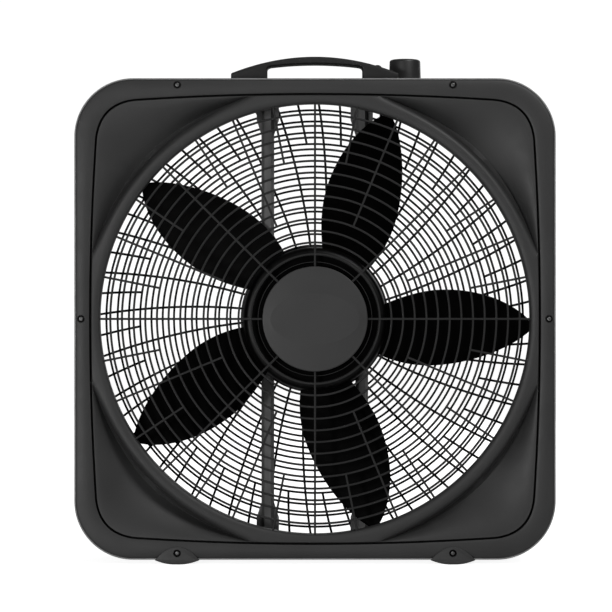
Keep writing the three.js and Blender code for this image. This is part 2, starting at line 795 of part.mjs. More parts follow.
addPiece('body_wrap', bodyWrap(), 'bodySteel');
addPiece('front_frame', frontFrame(), 'facePlastic');
addPiece('front_grille', frontGrille(), 'facePlastic');
addPiece('front_cap', frontCap(), 'capPlastic');
addPiece('rear_grille', rearGrille(), 'facePlastic');
addPiece('cord_gland', cordGland(), 'rubber', [...gland, 0]);

screwPlaces.forEach(([x, y], index) => {
  const seat = PANEL_BACK + 1.8 + GAP;
  addPiece(`front_screw_${index + 1}`, screw(3.6, 1.5, 10), 'screwSteel', [x, y, seat]);
  const rearScrew = screw(3.6, 1.2, 10).rotateX(Math.PI);
  addPiece(`rear_screw_${index + 1}`, rearScrew, 'screwSteel', [x, y, -FACE - GAP]);
});

addPiece('fan_blade', fanBlade(), 'bladePlastic');
addPiece('blade_nut', bladeNut(), 'screwSteel');
addPiece('motor_shaft', motorShaft(), 'screwSteel', [0, 0, -0.5]);
addPiece('rotor_core', rotorCore(), 'castAluminium');

addPiece('stator', stator(), 'laminations');
for (const pole of [0, 1, 2, 3]) {
  addPiece(`coil_${pole + 1}`, coil(pole * Math.PI / 2), 'copper');
}
addPiece('front_bell', frontBell(), 'castAluminium');
addPiece('rear_bell', rearBell(), 'castAluminium');
addPiece('front_bearing', bearing(8.5, 19.5), 'bronze');
addPiece('rear_bearing', bearing(-44.5, -35.5), 'bronze');
tieScrewPlaces.forEach(([x, y], index) => {
  addPiece(`tie_screw_${index + 1}`, tieScrew(), 'screwSteel', [x, y, -6]);
});
boltPlaces.forEach(([x, y], index) => {
  addPiece(`motor_bolt_${index + 1}`, screw(4, 2.2, 10), 'screwSteel', [x, y, -4]);
});

const padScrewSeat = INNER_WALL - GAP - PAD_SHEET - GAP;
for (const [name, side] of [['left', -1], ['right', 1]]) {
  addPiece(`${name}_bar`, barOnSide(side), 'barSteel');
  const barScrew = screw(4, 1.6, 3.4).rotateX(-Math.PI / 2);
  const barPlace = [side * BAR_SCREW[0], -padScrewSeat, -BAR_SCREW[1]];
  addPiece(`${name}_bar_screw`, barScrew, 'screwSteel', barPlace);
  const handleScrew = screw(4, 1.6, 12).rotateX(Math.PI / 2);
  const handlePlace = [side * HANDLE_SCREW[0], padScrewSeat, -HANDLE_SCREW[1]];
  addPiece(`${name}_handle_screw`, handleScrew, 'screwSteel', handlePlace);
  addPiece(`${name}_foot`, foot(), 'handlePlastic', [side * SCREW_SPREAD, 0, 0]);
}

addPiece('capacitor', block([-44.5, -33.5], [45, 65], [-42, -10]), 'capacitorPlastic');
addPiece('capacitor_tie', capacitorTie(), 'switchPlastic');
addPiece('motor_lead', motorLead(), 'rubber');

addPiece('handle', handle(), 'handlePlastic');
const switchPlace = [KNOB_X, 0, -KNOB_BACK];
addPiece('dial_plate', dialPlate(), 'knobPlastic', switchPlace);
addPiece('rotary_switch', rotarySwitch(), 'switchPlastic', switchPlace);
addPiece('switch_nut', switchNut(), 'screwSteel', switchPlace);
addPiece('switch_shaft', switchShaft(), 'switchPlastic', switchPlace);
addPiece('knob', knob(), 'knobPlastic', switchPlace);

export default fan;
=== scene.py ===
import json
import math

import bmesh
import bpy
import numpy as np
from mathutils import Matrix, Vector


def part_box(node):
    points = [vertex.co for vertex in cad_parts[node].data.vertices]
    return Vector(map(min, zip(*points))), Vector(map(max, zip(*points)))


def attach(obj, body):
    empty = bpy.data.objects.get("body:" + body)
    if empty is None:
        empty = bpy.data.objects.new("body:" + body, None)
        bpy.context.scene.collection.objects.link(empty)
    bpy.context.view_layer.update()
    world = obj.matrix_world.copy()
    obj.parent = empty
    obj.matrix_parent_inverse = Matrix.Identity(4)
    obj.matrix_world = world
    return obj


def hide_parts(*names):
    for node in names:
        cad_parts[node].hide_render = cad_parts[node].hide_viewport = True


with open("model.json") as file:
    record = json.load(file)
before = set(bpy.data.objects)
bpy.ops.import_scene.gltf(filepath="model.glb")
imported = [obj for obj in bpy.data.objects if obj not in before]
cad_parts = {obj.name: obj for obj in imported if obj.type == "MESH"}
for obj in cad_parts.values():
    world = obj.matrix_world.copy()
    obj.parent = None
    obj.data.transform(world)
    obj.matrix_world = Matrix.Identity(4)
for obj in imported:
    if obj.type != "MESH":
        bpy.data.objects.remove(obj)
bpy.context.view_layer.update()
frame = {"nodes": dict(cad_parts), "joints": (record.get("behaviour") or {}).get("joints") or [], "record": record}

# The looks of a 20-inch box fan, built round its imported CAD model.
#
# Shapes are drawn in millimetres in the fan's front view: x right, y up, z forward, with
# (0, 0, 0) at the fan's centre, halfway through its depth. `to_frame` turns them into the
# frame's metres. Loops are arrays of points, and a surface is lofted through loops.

# ---------------------------------------------------------------- sizes

MM = 0.001
CENTRE_HEIGHT = next(j for j in frame["joints"] if j["name"] == "rotor_spin")["pos_m"][2]


def extent(node):
    """A node's lowest and highest corner in front-view millimetres."""
    low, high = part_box(node)
    return (
        Vector((low.x, low.z - CENTRE_HEIGHT, -high.y)) / MM,
        Vector((high.x, high.z - CENTRE_HEIGHT, -low.y)) / MM,
    )


GAP = 0.3  # between pieces that touch on the real object
HALF = extent("body_wrap")[1].x
WRAP_EDGE = extent("body_wrap")[1].z
FRAME_HALF = extent("front_frame")[1].x
FACE = extent("front_frame")[1].z
PANEL_BACK = extent("front_frame")[0].z
CORNER_RADIUS = 64
SHEET = 1.6
FLANGE_SHEET = 1.2
FLANGE_FRONT = PANEL_BACK - GAP
RIM_INSET = HALF - FRAME_HALF

# A narrow groove runs between the rim and the front panels. Its two edges, as half widths
# halfway along a side and near the corners.
BEZEL_MOUTH = (245.7, 239.2)
PANEL_EDGE = (243.8, 237.3)
MOUTH_CORNER = 197  # how far from its middle a side starts to turn into the corner
GROOVE_FLOOR = 45

FRONT_OPENING = 234.5
REAR_OPENING = 245.5
LIP_FRONT = extent("front_grille")[1].z
LIP_BACK = extent("front_grille")[0].z
LIP_CREST = 242  # radius
LIP_FOOT = 252.7  # radius of the valley round the lip
DISH_DEPTH = 20
PANEL_SHEET = 1.9

RING_SPACING = 12.7
REAR_RING_SPACING = 12.74
RING_WIDTH = 2.3
SPOKE_WIDTH = 2.4
REAR_SPOKE_WIDTH = 2.6
GRILLE_FRONT = 52.5
GRILLE_BACK = 49.5
REAR_GRILLE_FRONT = -47.5
REAR_GRILLE_BACK = -50.5
CAP_RADIUS = extent("front_cap")[1].x
CAP_FRONT = extent("front_cap")[1].z
HUB_RING = 62.1  # a finer ring round the cap, set back from the others
HUB_RING_WIDTH = 0.7
HUB_RING_RECESS = 2.4
FIRST_RING = 70.6
REAR_DISC = 82.7
MIDDLE_SPOKE_START = 108.5
SHORT_SPOKE_START = 172
REAR_SHORT_SPOKE_START = 197.4
SPOKE_OVERLAP = 1.2  # how far a spoke runs into the lip
REAR_SPOKE_LEAN = 0.0421  # degrees for each millimetre of radius

BLADE_COUNT = 5
BLADE_TIP = 238.5
BLADE_ROOT = 77.5
BLADE_WIDEST = 138
BLADE_HALF_WIDTH = 42.8
BLADE_THICKNESS = 2.4
BLADE_MIDDLE = 18  # forward
ROOT_PITCH = 27  # degrees
TIP_PITCH = 17
TIP_TURN = -1.95  # degrees from the nearest full spoke of the front grille
ROOT_SWEEP = -5.7
ROOT_CAMBER = 5
HUB_RADIUS = 79
HUB_WALL = 3
HUB_FRONT = extent("fan_blade")[1].z
HUB_BORE = 4.3
BOSS_RADIUS = 10

SCREW_INSET = 7.2
SCREW_SPREAD = 150
SCREW_HOLE = 2.3  # radius
SCREW_HEAD = 3.6
SCREW_BUTTON = 2.0  # radius of the head's raised middle
RECESS_RADIUS = 4.2
RECESS_FLOOR = PANEL_BACK + 1.8
BUSHING_HOLE = 5.3  # radius

KNOB_RADIUS = 17.9
KNOB_STEM = 12
HANDLE_GAP = 52.5  # half the finger gap's length
HANDLE_GAP_HEIGHT = 16.1
FOOT_HALF = 24.3
SOLE_HALF = 2.5
FOOT_ARCH = 29
FOOT_TAB = 1.2

OUTLINE_POINTS = 720
ANGLES = np.linspace(0, 2 * math.pi, OUTLINE_POINTS, endpoint=False)


# ---------------------------------------------------------------- mesh helpers

def to_frame(points):
    """Front-view millimetres as the frame's metres."""
    x, y, z = np.asarray(points, float).T
    return np.column_stack([x * MM, -z * MM, CENTRE_HEIGHT + y * MM])


def polar(radius, angle):
    return np.column_stack([radius * np.cos(angle), radius * np.sin(angle)])


def at_depth(outline, z):
    """A flat outline as a loop of points at a forward distance, which may vary along it."""
    return np.column_stack([outline, np.broadcast_to(z, len(outline))])


def offset(outline, distance):
    """An outline moved outwards by a distance, square to itself."""
    along = np.roll(outline, -1, axis=0) - np.roll(outline, 1, axis=0)
    outwards = np.column_stack([along[:, 1], -along[:, 0]])
    return outline + outwards / np.linalg.norm(outwards, axis=1)[:, None] * distance


def circle(radius, count=OUTLINE_POINTS):
    return polar(radius, np.linspace(0, 2 * math.pi, count, endpoint=False))


def bezier(start, control, end, count=24):
    t = np.linspace(0, 1, count)[:, None]
    start, control, end = (np.asarray(p, float) for p in (start, control, end))
    return (1 - t) ** 2 * start + 2 * t * (1 - t) * control + t**2 * end


def rounded_square(half, radius):
    """Points of its outline at equal angles about the centre."""
    long_side = np.maximum(abs(np.cos(ANGLES)), abs(np.sin(ANGLES)))
    short_side = np.minimum(abs(np.cos(ANGLES)), abs(np.sin(ANGLES)))
    corner = half - radius
    to_corner = corner * (long_side + short_side)
    root = np.sqrt(np.maximum(to_corner**2 - 2 * corner**2 + radius**2, 0))
    side_reach = half / long_side
    on_side = side_reach * short_side <= corner
    return polar(np.where(on_side, side_reach, to_corner + root), ANGLES)


def bowed_square(middle, end, corner_start):
    """A square whose sides bow out from `end` at the corners to `middle` halfway along."""
    pull = end - 4.8
    side = bezier((end, -corner_start), (2 * middle - end, 0), (end, corner_start), 80)
    corner = bezier((end, corner_start), (pull, pull), (corner_start, end), 80)
    quarter = np.concatenate([side, corner[1:]])
    angle = np.arctan2(quarter[:, 1], quarter[:, 0])
    within = (ANGLES - angle[0]) % (math.pi / 2) + angle[0]
    return polar(np.interp(within, angle, np.linalg.norm(quarter, axis=1)), ANGLES)


def loft(loops, closed=True, cap=False):
    """Points and faces of a surface through loops of equally many points."""
    count, rows = len(loops[0]), len(loops)
    faces = []
    for row in range(rows if closed else rows - 1):
        here, there = row * count, (row + 1) % rows * count
        for i in range(count):
            j = (i + 1) % count
            faces.append((here + i, here + j, there + j, there + i))
    if cap:
        faces.append(tuple(range(count - 1, -1, -1)))
        faces.append(tuple((rows - 1) * count + i for i in range(count)))
    return np.concatenate(loops), faces


def lathe(profile, count=96):
    """A solid turned about the fan's axis, from [radius, forward] points round its section."""
    return loft([at_depth(circle(max(radius, 0.02), count), z) for radius, z in profile])


def joined(*surfaces):
    """Several surfaces as one."""
    points, faces, base = [], [], 0
    for surface_points, surface_faces in surfaces:
        points.append(surface_points)
        faces += [tuple(base + i for i in face) for face in surface_faces]
        base += len(surface_points)
    return np.concatenate(points), faces


def moved(surface, by):
    points, faces = surface
    return points + np.asarray(by, float), faces


def make_object(name, surface, upright=False):
    """An object from a surface. `upright` ones are turned about a vertical axis instead."""
    points, faces = surface
    if upright:
        points = np.column_stack([points[:, 0], points[:, 2], -points[:, 1]])
    mesh = bpy.data.meshes.new(name)
    mesh.from_pydata(to_frame(points).tolist(), [], faces)
    mesh.validate()
    made = bpy.data.objects.new(name, mesh)
    bpy.context.scene.collection.objects.link(made)
    tidy_normals(made)
    return made


def tidy_normals(made):
    """Merges points that coincide, and turns every face outwards."""
    work = bmesh.new()
    work.from_mesh(made.data)
    bmesh.ops.remove_doubles(work, verts=work.verts, dist=1e-6)
    bmesh.ops.recalc_face_normals(work, faces=work.faces)
    work.to_mesh(made.data)
    work.free()


def apply_modifiers(made):
    """Turns what the modifiers make of an object into its own mesh."""
    bpy.context.view_layer.update()
    ready = made.evaluated_get(bpy.context.evaluated_depsgraph_get())
    made.data = bpy.data.meshes.new_from_object(ready)
    made.modifiers.clear()


def combine(made, other, operation="UNION", solver="MANIFOLD"):
    """Joins or cuts `made` with `other`, and removes `other`."""
    modifier = made.modifiers.new("combine", "BOOLEAN")
    modifier.operation = operation
    modifier.solver = solver
    modifier.object = other
    apply_modifiers(made)
    bpy.data.objects.remove(other)


def soften(made, width, segments=3, angle=35):
    """Rounds the edges of `made` that are sharper than an angle."""
    modifier = made.modifiers.new("soften", "BEVEL")
    modifier.width = width * MM
    modifier.segments = segments
    modifier.limit_method = "ANGLE"
    modifier.angle_limit = math.radians(angle)
    modifier.harden_normals = False


def paint(made, finish, wanted):
    """Gives another finish to the faces for whose middle, in front-view millimetres, `wanted`
    is true."""
    made.data.materials.append(finish)
    for face in made.data.polygons:
        x, y, z = face.center
        if wanted(x / MM, (z - CENTRE_HEIGHT) / MM, -y / MM):
            face.material_index = len(made.data.materials) - 1


def finish_piece(made, slot, body="housing", replaces=(), smooth=32):
    """Gives a piece its material and its body, and hides the CAD nodes that it stands for."""
    if made.modifiers:
        apply_modifiers(made)
    made.data.materials.clear()
    made.data.materials.append(finishes[slot])
    made.data.shade_smooth()
    made.data.set_sharp_from_angle(angle=math.radians(smooth))
    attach(made, body)
    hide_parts(*replaces)
    return made


# ---------------------------------------------------------------- camera, light and floor

def make_camera():
    camera = bpy.data.objects.new("camera", bpy.data.cameras.new("camera"))
    camera.data.lens = 140.4
    camera.data.sensor_width = 36
    camera.location = (-0.0098, -2.651, 0.2811)
    camera.rotation_euler = (math.radians(90), 0, 0)
    bpy.context.scene.collection.objects.link(camera)
    bpy.context.scene.camera = camera


def area_light(name, place, aim, size, power):
    light = bpy.data.objects.new(name, bpy.data.lights.new(name, "AREA"))
    light.data.size = size
    light.data.energy = power
    light.location = place
    light.rotation_euler = (Vector(aim) - Vector(place)).to_track_quat("-Z", "Y").to_euler()
    bpy.context.scene.collection.objects.link(light)


def make_world():
    """White to the camera, and a dimmer soft light on the object."""
    world = bpy.data.worlds.new("studio")
    world.use_nodes = True
    tree = world.node_tree
    tree.nodes.clear()
    seen = tree.nodes.new("ShaderNodeBackground")
    seen.inputs["Color"].default_value = (1, 1, 1, 1)
    seen.inputs["Strength"].default_value = 1.05
    lighting = tree.nodes.new("ShaderNodeBackground")
    lighting.inputs["Color"].default_value = (1, 1, 1, 1)
    lighting.inputs["Strength"].default_value = 0.14
    path = tree.nodes.new("ShaderNodeLightPath")
    mix = tree.nodes.new("ShaderNodeMixShader")
    output = tree.nodes.new("ShaderNodeOutputWorld")
    tree.links.new(path.outputs["Is Camera Ray"], mix.inputs[0])
    tree.links.new(lighting.outputs[0], mix.inputs[1])
    tree.links.new(seen.outputs[0], mix.inputs[2])
    tree.links.new(mix.outputs[0], output.inputs[0])
    bpy.context.scene.world = world


def make_floor():
    """A pale floor, which the camera sees a little brighter than it is."""
    size = 12
    mesh = bpy.data.meshes.new("floor")
    corners = [(-size, -size, 0), (size, -size, 0), (size, size, 0), (-size, size, 0)]
    mesh.from_pydata(corners, [], [(0, 1, 2, 3)])
    floor = bpy.data.objects.new("floor", mesh)
    bpy.context.scene.collection.objects.link(floor)
    material = bpy.data.materials.new("floor")
    material.use_nodes = True
    nodes, links = material.node_tree.nodes, material.node_tree.links
    shader = nodes["Principled BSDF"]
    shader.inputs["Base Color"].default_value = (0.9, 0.9, 0.9, 1)
    shader.inputs["Roughness"].default_value = 0.9
    shader.inputs["Specular IOR Level"].default_value = 0.1
    shader.inputs["Emission Color"].default_value = (1, 1, 1, 1)
    glow = nodes.new("ShaderNodeMath")
    glow.operation = "MULTIPLY"
    glow.inputs[1].default_value = 0.9
    links.new(nodes.new("ShaderNodeLightPath").outputs["Is Camera Ray"], glow.inputs[0])
    links.new(glow.outputs[0], shader.inputs["Emission Strength"])
    mesh.materials.append(material)


def make_studio():
    bpy.context.scene.view_settings.view_transform = "Standard"
    make_camera()
    make_world()
    make_floor()
    area_light("key", (-1.25, -2.35, 0.22), (0, 0, 0.27), 0.4, 22)
    area_light("kicker", (1.0, -1.35, 1.8), (0, 0, 0.27), 0.7, 21)
    area_light("back", (1.0, 2.6, 1.4), (0, 0, 0.27), 2.0, 20)


# ---------------------------------------------------------------- materials

def make_finish(name, dark, light, roughness, metallic=0.0, grain=1400, grain_depth=0.00004,
                mottle=18, streak=(1, 1, 1), wear=None, specular=0.5):
    """A procedural finish: two shades mottled together, a fine grain in the surface, uneven
    gloss, and where `wear` is given, that colour along the sharp edges."""
    material = bpy.data.materials.new(name)
    material.use_nodes = True
    nodes, links = material.node_tree.nodes, material.node_tree.links
    shader = nodes["Principled BSDF"]
    shader.inputs["Metallic"].default_value = metallic
    shader.inputs["Specular IOR Level"].default_value = specular
    place = nodes.new("ShaderNodeTexCoord")
    stretch = nodes.new("ShaderNodeMapping")
    stretch.inputs["Scale"].default_value = streak
    links.new(place.outputs["Object"], stretch.inputs["Vector"])

    def noise(scale, detail):
        node = nodes.new("ShaderNodeTexNoise")
        node.inputs["Scale"].default_value = scale
        node.inputs["Detail"].default_value = detail
        links.new(stretch.outputs[0], node.inputs["Vector"])
        return node.outputs["Fac"]

    def ramp(source, low, high, first, last):
        node = nodes.new("ShaderNodeValToRGB")
        node.color_ramp.elements[0].position = low
        node.color_ramp.elements[1].position = high
        node.color_ramp.elements[0].color = (*first, 1)
        node.color_ramp.elements[1].color = (*last, 1)
        links.new(source, node.inputs[0])
        return node.outputs[0]

    colour = ramp(noise(mottle, 6), 0.35, 0.65, dark, light)
    fine = noise(grain, 3)
    if wear:
        edges = nodes.new("ShaderNodeNewGeometry").outputs["Pointiness"]
        mask = ramp(edges, 0.51, 0.56, (0, 0, 0), (1, 1, 1))
        broken = nodes.new("ShaderNodeMath")
        broken.operation = "MULTIPLY"
        links.new(mask, broken.inputs[0])
        links.new(noise(mottle * 9, 4), broken.inputs[1])
        mix = nodes.new("ShaderNodeMixRGB")
        mix.inputs[2].default_value = (*wear, 1)
        links.new(broken.outputs[0], mix.inputs[0])
        links.new(colour, mix.inputs[1])
        colour = mix.outputs[0]
    links.new(colour, shader.inputs["Base Color"])
    gloss = nodes.new("ShaderNodeMapRange")
    gloss.inputs["To Min"].default_value = roughness - 0.08
    gloss.inputs["To Max"].default_value = roughness + 0.08
    links.new(noise(mottle * 4, 5), gloss.inputs[0])
    links.new(gloss.outputs[0], shader.inputs["Roughness"])
    bump = nodes.new("ShaderNodeBump")
    bump.inputs["Distance"].default_value = grain_depth
    links.new(fine, bump.inputs["Height"])
    links.new(bump.outputs[0], shader.inputs["Normal"])
    return material


def grey(level, tint=0.0):
    """A linear grey, made bluer by `tint`."""
    return (level * (1 - tint), level, level * (1 + tint))


finishes = {
    "face_plastic": make_finish("face_plastic", grey(0.018), grey(0.023), 0.55, wear=grey(0.04)),
    "body_steel": make_finish("body_steel", grey(0.020), grey(0.026), 0.45, grain=500,
                              grain_depth=0.00006, wear=grey(0.12)),
    "cap_plastic": make_finish("cap_plastic", grey(0.022), grey(0.026), 0.5, grain=2200),
    "blade_plastic": make_finish("blade_plastic", grey(0.0002), grey(0.0012), 0.5, mottle=9,
                                 specular=0.03),
    "handle_plastic": make_finish("handle_plastic", grey(0.007), grey(0.010), 0.55,
                                  wear=grey(0.025), specular=0.36),
    "knob_plastic": make_finish("knob_plastic", grey(0.015), grey(0.019), 0.42,
                                wear=grey(0.035)),
    "bar_steel": make_finish("bar_steel", grey(0.1), grey(0.145), 0.5, grain=900, mottle=60,
                             streak=(1, 1, 0.12), wear=grey(0.12)),
    "screw_steel": make_finish("screw_steel", grey(0.14), grey(0.22), 0.42, metallic=0.9,
                               grain=2500, mottle=220, wear=grey(0.4)),
    "cast_aluminium": make_finish("cast_aluminium", grey(0.26), grey(0.36), 0.6, metallic=0.85,
                                  grain=700, grain_depth=0.0001, mottle=90, wear=grey(0.5)),
    "laminations": make_finish("laminations", grey(0.08), grey(0.15), 0.5, metallic=0.7,
                               grain=400, mottle=30, streak=(0.05, 22, 0.05), wear=grey(0.3)),
    "copper": make_finish("copper", (0.24, 0.08, 0.03), (0.42, 0.16, 0.06), 0.38, metallic=0.8,
                          grain=900, grain_depth=0.0002, mottle=60, streak=(0.2, 3, 0.2)),
    "bronze": make_finish("bronze", (0.28, 0.19, 0.07), (0.38, 0.27, 0.11), 0.45, metallic=0.85,
                          grain=1200, mottle=120),
    "switch_plastic": make_finish("switch_plastic", grey(0.010), grey(0.015), 0.6),
    "capacitor_plastic": make_finish("capacitor_plastic", grey(0.012, 0.1), grey(0.018, 0.1),
                                     0.35),
    "rubber": make_finish("rubber", grey(0.006), grey(0.010), 0.85, grain=800, specular=0.3),
}
# Lighter steel for the band's front and rear edges: a painted highlight.
rim_highlight_finish = make_finish("rim_painted_highlight", grey(0.14), grey(0.21), 0.4, grain=500, mottle=40,
                         wear=grey(0.3))
# Darker copy of the front plastic: painted shade on the grille's rings and spokes.
ring_shade_finish = make_finish("ring_painted_shade", grey(0.010), grey(0.014), 0.55, specular=0.3)
shaded_finish = make_finish("shaded_plastic", grey(0.004), grey(0.006), 0.6, specular=0.15)
# Nearly black: painted shadow deep in the groove round the front panels.
shadow_finish = make_finish("groove_painted_shadow", grey(0.003), grey(0.006), 0.8, specular=0.1)
# Glossier, slightly lighter copy of the blade plastic: painted sheen on the hub's shoulder.
hub_sheen_finish = make_finish("hub_painted_sheen", grey(0.001), grey(0.003), 0.4, grain=2200, specular=0.22)
# Nearly black: painted shade round the rim of the screw heads.
screw_shade_finish = make_finish("screw_painted_shade", grey(0.002), grey(0.005), 0.6, grain=2500,
                               mottle=200, specular=0.1)


# ---------------------------------------------------------------- body

SCREW_PLACES = [
    (-SCREW_SPREAD, HALF - SCREW_INSET),
    (SCREW_SPREAD, HALF - SCREW_INSET),
    (-SCREW_SPREAD, SCREW_INSET - HALF),
    (SCREW_SPREAD, SCREW_INSET - HALF),
    (SCREW_INSET - HALF, 0),
    (HALF - SCREW_INSET, 0),
]


def bezel_inside():
    return bowed_square(*BEZEL_MOUTH, MOUTH_CORNER)


def panel_outside():
    return bowed_square(*PANEL_EDGE, MOUTH_CORNER)


def beyond(outline, x, y):
    """How far a point lies outside an outline, measured from the fan's centre."""
    angle = math.atan2(y, x) % (2 * math.pi)
    nearest = round(angle / (2 * math.pi) * OUTLINE_POINTS) % OUTLINE_POINTS
    return math.hypot(x, y) - math.hypot(*outline[nearest])


def upright_hole(node, radius, side):
    """A cutter for a hole round a node, through the shell's top (side 1) or bottom (side -1)."""
    low, high = extent(node)
    start, end = side * (HALF - 4), side * (HALF + 2)
    hole = lathe([(0, start), (radius, start), (radius, end), (0, end)], 40)
    place = ((low.x + high.x) / 2, -(low.z + high.z) / 2, 0)
    return make_object("hole", moved(hole, place), upright=True)


def body_shell():
    """A folded steel band, with a flange turned in near each end and holes for what passes
    through it."""
    outside = rounded_square(HALF, CORNER_RADIUS)
    inside = rounded_square(HALF - SHEET, CORNER_RADIUS - SHEET)
    edge, bend = 0.5, 0.15
    wall = loft([
        at_depth(outside, edge - WRAP_EDGE),
        at_depth(outside, WRAP_EDGE - edge),
        at_depth(offset(outside, -bend), WRAP_EDGE - bend),
        at_depth(offset(outside, -edge), WRAP_EDGE),
        at_depth(offset(inside, edge), WRAP_EDGE),
        at_depth(inside, WRAP_EDGE - edge),
        at_depth(inside, edge - WRAP_EDGE),
        at_depth(offset(inside, edge), -WRAP_EDGE),
        at_depth(offset(outside, -edge), -WRAP_EDGE),
        at_depth(offset(outside, -bend), bend - WRAP_EDGE),
    ])
    shell = make_object("body_shell", wall)
    front_hole = offset(bezel_inside(), 1.9)
    rear_hole = rounded_square(249, 49)
    round_off = 0.3
    for hole, front in ((front_hole, FLANGE_FRONT), (rear_hole, FLANGE_SHEET - FLANGE_FRONT)):
        back = front - FLANGE_SHEET
        flange = loft([
            at_depth(offset(outside, -SHEET / 2), back),
            at_depth(offset(outside, -SHEET / 2), front),
            at_depth(offset(hole, round_off), front),
            at_depth(hole, front - round_off),
            at_depth(hole, back + round_off),
            at_depth(offset(hole, round_off), back),
        ])
        combine(shell, make_object("flange", flange))
    combine(shell, upright_hole("switch_shaft", BUSHING_HOLE, 1), "DIFFERENCE")
    for hand in ("left", "right"):
        combine(shell, upright_hole(f"{hand}_handle_screw", SCREW_HOLE, 1), "DIFFERENCE")
        combine(shell, upright_hole(f"{hand}_bar_screw", SCREW_HOLE, -1), "DIFFERENCE")
    finish_piece(shell, "body_steel", replaces=["body_wrap"])
    # Painted highlight: the band's front and rear edges are a lighter steel, standing in for light caught on the
    # rolled edge.
    paint(shell, rim_highlight_finish, lambda x, y, z: abs(z) > WRAP_EDGE - 0.4)


def screw_recess(place, radius, floor, surface):
    """A cutter for a flat-floored recess with a chamfered mouth."""
    x, y = place
    fillet, mouth = 0.4, radius + 0.6
    profile = [
        (0, floor),
        (radius - fillet, floor),
        (radius, floor + fillet),
        (radius, surface - 0.5),
        (mouth, surface + 0.1),
        (mouth, surface + 2),
        (0, surface + 2),
    ]
    return make_object("recess", moved(lathe(profile, 40), (x, y, 0)))


def front_bezel():
    """The flat rim of the front: slightly crowned, with rounded edges and screw recesses."""
    outer = rounded_square(FRAME_HALF, CORNER_RADIUS - RIM_INSET)
    inner = bezel_inside()
    crown, edge, bend, wall = 1.0, 0.9, 0.3, 1.6
    shoulder = FACE - crown
    loops = [at_depth(outer, PANEL_BACK), at_depth(outer, shoulder - edge)]
    loops.append(at_depth(offset(outer, -bend), shoulder - bend))
    for share in np.linspace(0, 1, 9):
        across = offset(outer, -edge) * (1 - share) + offset(inner, edge) * share
        rise = crown * 4 * share * (1 - share)
        loops.append(at_depth(across, shoulder + rise))
    loops.append(at_depth(offset(inner, bend), shoulder - bend))
    loops.append(at_depth(inner, shoulder - edge))
    loops.append(at_depth(inner, GROOVE_FLOOR))
    loops.append(at_depth(offset(inner, wall), GROOVE_FLOOR))
    loops.append(at_depth(offset(inner, wall), PANEL_BACK))
    bezel = make_object("front_bezel", loft(loops))
    for place in SCREW_PLACES:
        combine(bezel, screw_recess(place, RECESS_RADIUS, RECESS_FLOOR, FACE), "DIFFERENCE")
    finish_piece(bezel, "face_plastic", replaces=["front_frame"])
    # Painted shadow: the bezel's wall down in the groove is darker than its face.
    paint(bezel, shadow_finish, lambda x, y, z: z < FACE - 2 and beyond(inner, x, y) < 0.8)


# ---------------------------------------------------------------- grilles

def smooth_step(t):
    """Rises smoothly from 0 to 1 as `t` does."""
    t = np.clip(t, 0, 1)
    return t * t * (3 - 2 * t)


def dished_panel():
    """The front's corner panels: a rolled lip round the opening, a valley outside it, and a
    dish that rises to the outline, where a skirt and a tongue close the groove."""
    reach = np.linalg.norm(panel_outside(), axis=1)
    edge = FACE - 2
    bend = 0.4
    roll_end = np.minimum(LIP_FOOT, reach - 1)
    span = np.maximum(reach - LIP_FOOT, 0)
    valley = edge - DISH_DEPTH * (1 - np.exp(-span / 16))
    inside = FRONT_OPENING + 2.4
    inner_roll = 4
    tongue_front, tongue_reach = GROOVE_FLOOR + 1.2, reach + 1.8

    def roll(radius):
        """The lip's height: an ellipse inside its crest, and a flatter curve outside it."""
        inward = np.clip((LIP_CREST - radius) / (LIP_CREST - FRONT_OPENING), 0, 1)
        outward = np.clip((radius - LIP_CREST) / (LIP_FOOT - LIP_CREST), 0, 1)
        inner_drop = inner_roll * (1 - np.sqrt(1 - inward**2))
        return LIP_FRONT - inner_drop - (LIP_FRONT - valley) * (1 - (1 - outward**3.2) ** 0.7)

    def backs(radius, height):
        return np.maximum(radius, inside), height - PANEL_SHEET

    front = []
    for share in np.linspace(0, 1, 21)[1:]:
        radius = FRONT_OPENING + (roll_end - FRONT_OPENING) * share
        front.append((radius, roll(radius)))
    foot = roll(roll_end)
    for share in np.linspace(0, 1, 23)[1:]:
        radius = roll_end + (reach - bend - roll_end) * share
        eased = share**2 / (share + 0.05) * 1.05
        front.append((radius, foot + (edge - foot) * (1 - (1 - eased) ** 1.8)))
    opening = np.full_like(reach, FRONT_OPENING)
    wall = np.full_like(reach, inside)
    loops = [
        (opening, LIP_BACK + bend),
        (opening, LIP_FRONT - inner_roll),
        *front,
        (reach, edge - bend),
        (reach, tongue_front),
        (tongue_reach, tongue_front),
        (tongue_reach, GROOVE_FLOOR),
        (reach - PANEL_SHEET, GROOVE_FLOOR),
        (reach - PANEL_SHEET, np.maximum(front[-2][1] - PANEL_SHEET, GROOVE_FLOOR + 0.2)),
        *(backs(radius, height) for radius, height in front[-3:0:-3]),
        (wall, LIP_BACK + bend),
        (wall - bend, LIP_BACK),
        (opening + bend, LIP_BACK),
    ]
    return loft([at_depth(polar(radius, ANGLES), height) for radius, height in loops])


def bar_section(width, back, front):
    """The section of a moulded grille bar: straight sides and a rounded front."""
    half, shoulder_half = width / 2, width * 0.3
    side_top, shoulder = front - width * 0.3, front - width * 0.075
    return [
        (-half, back),
        (half, back),
        (half, side_top),
        (shoulder_half, shoulder),
        (0, front),
        (-shoulder_half, shoulder),
        (-half, side_top),
    ]


def ring(radius, width, back, front, count=288):
    return lathe([(radius + out, z) for out, z in bar_section(width, back, front)], count)


